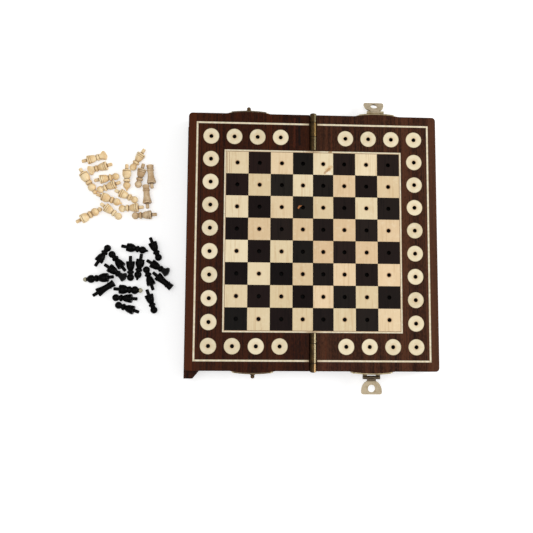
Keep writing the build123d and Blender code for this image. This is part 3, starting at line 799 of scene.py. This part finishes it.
def dress_box():
    """Rosewood on both halves, redder at the left and browner at the right, and the inlay."""
    red = Timber(base=srgb(40, 12, 2), warm=srgb(64, 28, 7), dark=srgb(17, 4, 1),
                 red=srgb(80, 26, 5), line=srgb(9, 3, 1), rim=srgb(98, 47, 18))
    brown = Timber(base=srgb(51, 26, 13), warm=srgb(80, 46, 28), dark=srgb(26, 11, 5),
                   red=srgb(84, 38, 18), line=srgb(11, 5, 3), rim=srgb(92, 57, 38))
    for side, name in SIDES:
        shades = red if side == LEFT else brown
        seed = 20 + 35 * side
        dress(rosewood(f"rosewood_{name}_plate", shades, seed, bored=True), f"{name}_playing_plate")
        dress(rosewood(f"rosewood_{name}_walls", shades, seed, framed=True), f"{name}_walls")
        dress(rosewood(f"rosewood_{name}_bottom", shades, seed + 9), f"{name}_bottom")
    dress(rosewood("rosewood_slide", red, 90), "side_slide")
    pale, black, lines, discs = maple(), ebony(), holly(), bone()
    for side, name in SIDES:
        body = f"{name}_half"
        light, dark = square_places(side, True), square_places(side, False)
        inlay_piece(f"{name}_light_squares", light, add_square, pale, body)
        inlay_piece(f"{name}_dark_squares", dark, add_square, black, body)
        inlay_piece(f"{name}_discs", disc_places(side), add_disc, discs, body)
        inlay_piece(f"{name}_stringing", stringing_strips(side), add_strip, lines, body)


def dress_metal():
    """Brown brass hinges, greyer clasps with brighter tabs."""
    hinge = brass("hinge_brass", srgb(84, 64, 34), srgb(56, 41, 20), srgb(30, 20, 10),
                  0.36, shade=painted_highlight_streak)
    plate = brass("clasp_brass", srgb(198, 182, 146), srgb(160, 142, 108), srgb(84, 68, 46),
                  0.30, wear_and_highlight=0.5, spotting=0.35, shade=brown_edges)
    knob = brass("knob_brass", srgb(104, 82, 54), srgb(66, 48, 30), srgb(34, 24, 14), 0.34)
    tab = brass("tab_brass", srgb(190, 174, 146), srgb(168, 151, 122), srgb(124, 107, 82),
                0.34, wear_and_highlight=0.42, spotting=0.3, shade=brown_neck)
    nail = brass("nail_brass", srgb(238, 230, 200), srgb(206, 190, 150), srgb(96, 76, 50),
                 0.24, wear_and_highlight=0.4, spotting=0.3)
    dress(hinge, "left_hinge_leaves", "right_hinge_leaves", "hinge_pins",
          "left_hinge_screws", "right_hinge_screws")
    dress(plate, "catch_plates", "hasp_plates", "hasp_pins")
    dress(knob, "catch_knobs")
    dress(tab, "far_hasp_tab", "near_hasp_tab")
    dress(nail, "catch_nails", "hasp_nails")


def dress_men():
    """Boxwood and black-stained men."""
    light = turned_wood("boxwood", srgb(255, 232, 186), srgb(232, 196, 142), srgb(104, 60, 24),
                        roughness=0.40, gloss=0.5)
    grey = turned_wood("grey_boxwood", srgb(228, 202, 164), srgb(194, 160, 118), srgb(70, 44, 22),
                       roughness=0.45, gloss=0.4)
    black = dict(light=srgb(5, 4, 4), deep=srgb(3, 2, 2), crease_shade=srgb(1, 1, 1),
                 roughness=0.32, gloss=0.06)
    dark = turned_wood("black_wood", **black)
    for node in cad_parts:
        if node in bone_tips:
            heading, start = bone_tips[node]
            heading = math.radians(heading)
            low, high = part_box(node)
            tip = ((low + high) / 2 / MM, (math.cos(heading), math.sin(heading), 0), start)
            dress(turned_wood(node + "_wood", **black, tip=tip), node)
        elif node.startswith("light_"):
            middle = sum(end.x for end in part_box(node)) / 2 / MM
            dress(grey if middle > grey_men_start else light, node)
        elif node.startswith("dark_"):
            dress(dark, node)


# Studio

def floor_finish():
    """Matt white that the camera and bright metal see as plain white, with the object's shadow."""
    floor = Finish("floor", 0.9, gloss=0.0)
    path = floor.node("LightPath", {}).outputs
    seen = floor.maths("MAXIMUM", path["Is Camera Ray"], path["Is Glossy Ray"])
    seen = floor.maths("MAXIMUM", seen, path["Is Transmission Ray"])
    away = floor.length(floor.place())
    glow = floor.all_of(seen, floor.band(away, *glow_reach, *floor_glow))
    floor.feed(floor.shader.inputs["Emission Color"], (1, 1, 1, 1))
    floor.feed(floor.shader.inputs["Emission Strength"], glow)
    return floor.finish(srgb(232, 232, 232))


def add_floor():
    """A wide plain floor."""
    bpy.ops.mesh.primitive_plane_add(size=floor_size, location=(0, 0, -floor_drop * MM))
    floor = bpy.context.object
    floor.name = "floor"
    floor.data.materials.append(floor_finish())


def add_world():
    """Even white surroundings, plain white where the camera sees them."""
    world = bpy.data.worlds.new("studio")
    bpy.context.scene.world = world
    world.use_nodes = True
    tree = world.node_tree
    background = tree.nodes["Background"]
    background.inputs["Color"].default_value = (1, 1, 1, 1)
    path = tree.nodes.new("ShaderNodeLightPath")
    choose = tree.nodes.new("ShaderNodeMapRange")
    choose.inputs["To Min"].default_value = sky_light
    choose.inputs["To Max"].default_value = 1.0
    tree.links.new(path.outputs["Is Camera Ray"], choose.inputs["Value"])
    tree.links.new(choose.outputs["Result"], background.inputs["Strength"])


def add_lamp(name, place, size, power):
    """A soft square lamp that faces the board."""
    data = bpy.data.lights.new(name, "AREA")
    data.energy = power
    data.size = size
    lamp = bpy.data.objects.new(name, data)
    lamp.location = place
    lamp.rotation_euler = Vector(place).to_track_quat("Z", "Y").to_euler()
    bpy.context.collection.objects.link(lamp)


def add_camera():
    """The photograph's viewpoint, nearly straight above the left half."""
    data = bpy.data.cameras.new("camera")
    data.sensor_width = sensor_width
    data.lens = sensor_width * focal_pixels / picture_width
    data.clip_start = near_limit * MM
    camera = bpy.data.objects.new("camera", data)
    camera.location = Vector(camera_place) * MM
    camera.rotation_euler = Euler([math.radians(angle) for angle in camera_turn], "XYZ")
    bpy.context.collection.objects.link(camera)
    bpy.context.scene.camera = camera


def add_studio():
    """Floor, surroundings, lamps and camera."""
    add_floor()
    add_world()
    for lamp in lamps:
        add_lamp(*lamp)
    add_camera()
    bpy.context.scene.view_settings.view_transform = "Standard"


dress_box()
dress_metal()
dress_men()
inlay_endings = ("_squares", "_discs", "_stringing")
smooth(*[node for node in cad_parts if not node.endswith(inlay_endings)])
add_studio()
